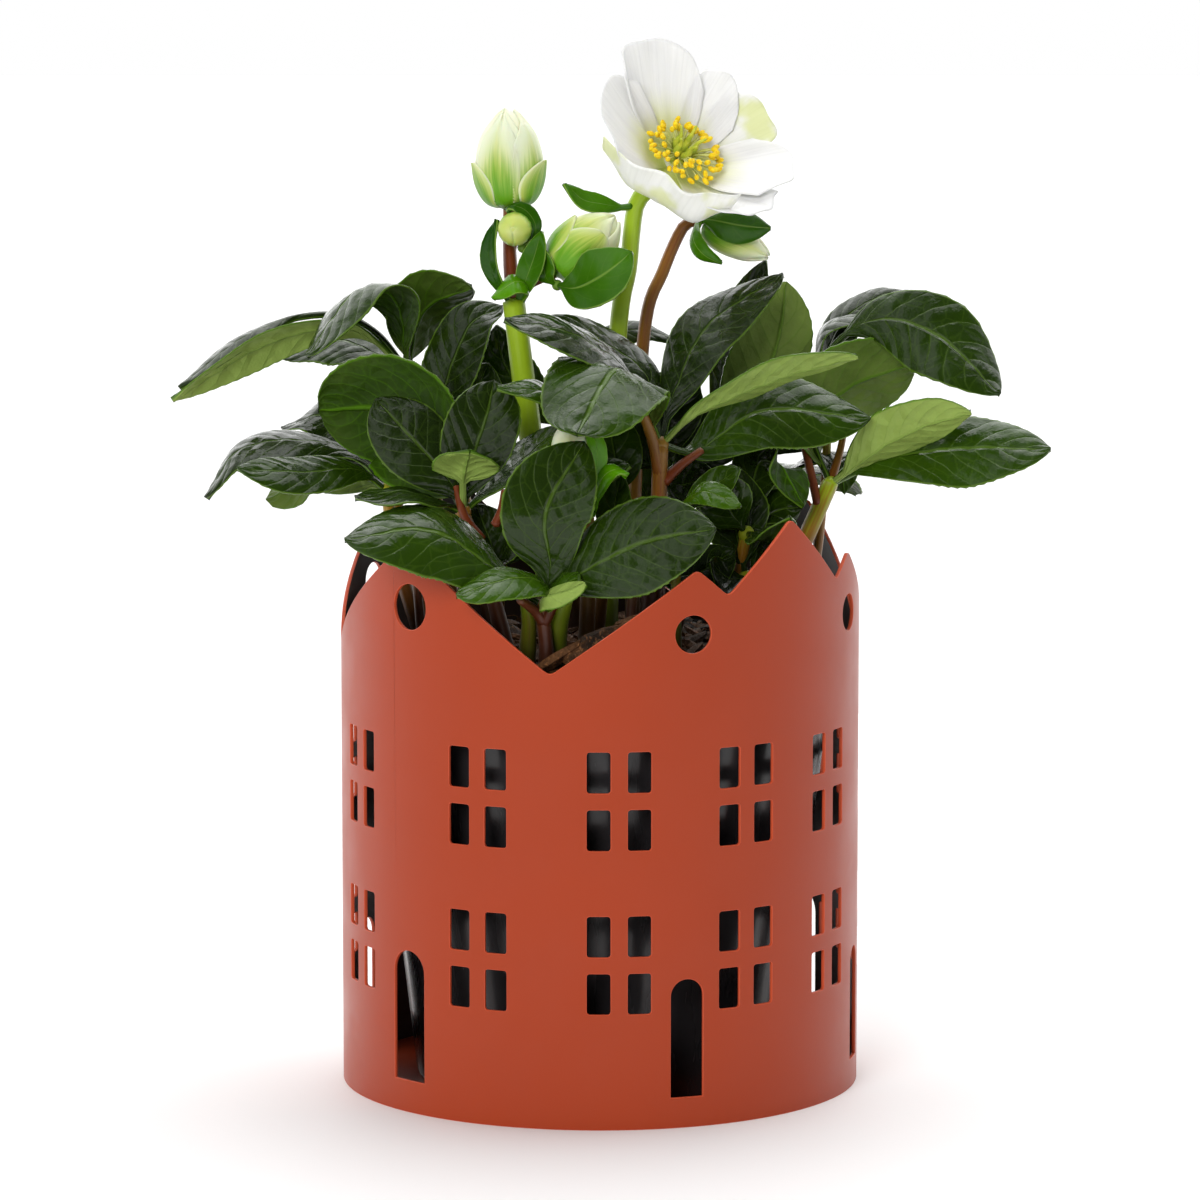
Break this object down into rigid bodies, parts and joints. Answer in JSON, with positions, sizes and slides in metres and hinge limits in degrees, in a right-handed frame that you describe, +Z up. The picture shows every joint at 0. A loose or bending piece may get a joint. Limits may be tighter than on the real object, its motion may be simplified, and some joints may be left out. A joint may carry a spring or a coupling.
{
  "type": "potted hellebore",
  "caption": "Flowering Christmas rose in its nursery pot, standing in a round sheet-metal sleeve cut into gabled house fronts with windows and doors.",
  "frame": {"origin": "on the sleeve's axis at the underside of the base, where it stands on the floor", "axes": "+Z up along the sleeve's axis; -Y is the front that the picture shows; +X is to the right seen from the front"},
  "size_m": [0.2363, 0.1715, 0.281],
  "materials": {
    "sleeve_coat": "satin terracotta powder coat on thin sheet steel",
    "pot_plastic": "glossy black thin plastic",
    "bark": "moist dark potting bark",
    "leaf": "leathery dark green leaf with a waxy sheen",
    "stalk": "smooth maroon to brown plant stalk",
    "stem": "smooth lime green fleshy stem",
    "sepal": "white translucent petal-like sepal",
    "stamen": "matte yellow",
    "carpel": "smooth yellow green",
    "bud": "smooth cream to green closed sepals"
  },
  "bodies": {
    "root": {"arched_stem": "stalk", "bark_soil": "bark", "cluster_stalks": "stalk", "cluster_stem": "stem", "flower_carpels": "carpel", "flower_sepals": "sepal", "flower_stamens": "stamen", "flower_stem": "stem", "hidden_bud": "bud", "hidden_bud_stem": "stalk", "house_sleeve": "sleeve_coat", "leaf_back_blades": "leaf", "leaf_back_centre_blades": "leaf", "leaf_back_centre_stalk": "stalk", "leaf_back_left_blades": "leaf", "leaf_back_left_stalk": "stalk", "leaf_back_right_blades": "leaf", "leaf_back_right_stalk": "stalk", "leaf_back_stalk": "stalk", "leaf_back_upper_blades": "leaf", "leaf_back_upper_stalk": "stalk", "leaf_centre_blades": "leaf", "leaf_centre_stalk": "stalk", "leaf_front_blades": "leaf", "leaf_front_left_blades": "leaf", "leaf_front_left_stalk": "stalk", "leaf_front_stalk": "stalk", "leaf_inner_blades": "leaf", "leaf_inner_stalk": "stalk", "leaf_low_left_blades": "leaf", "leaf_low_left_stalk": "stalk", "leaf_low_right_blades": "leaf", "leaf_low_right_stalk": "stalk", "leaf_mid_left_blades": "leaf", "leaf_mid_left_stalk": "stalk", "leaf_right_blades": "leaf", "leaf_right_stalk": "stalk", "leaf_small_centre_blades": "leaf", "leaf_small_centre_stalk": "stalk", "leaf_upper_left_blades": "leaf", "leaf_upper_left_stalk": "stalk", "nodding_bud": "bud", "nodding_bud_bracts": "leaf", "nursery_pot": "pot_plastic", "sleeve_base": "sleeve_coat", "small_bud": "bud", "small_bud_bract": "leaf", "tall_bud": "bud", "tilted_bud": "bud", "tilted_bud_bracts": "leaf", "young_shoot_left": "stem", "young_shoot_right": "stem"}
  },
  "joints": []
}
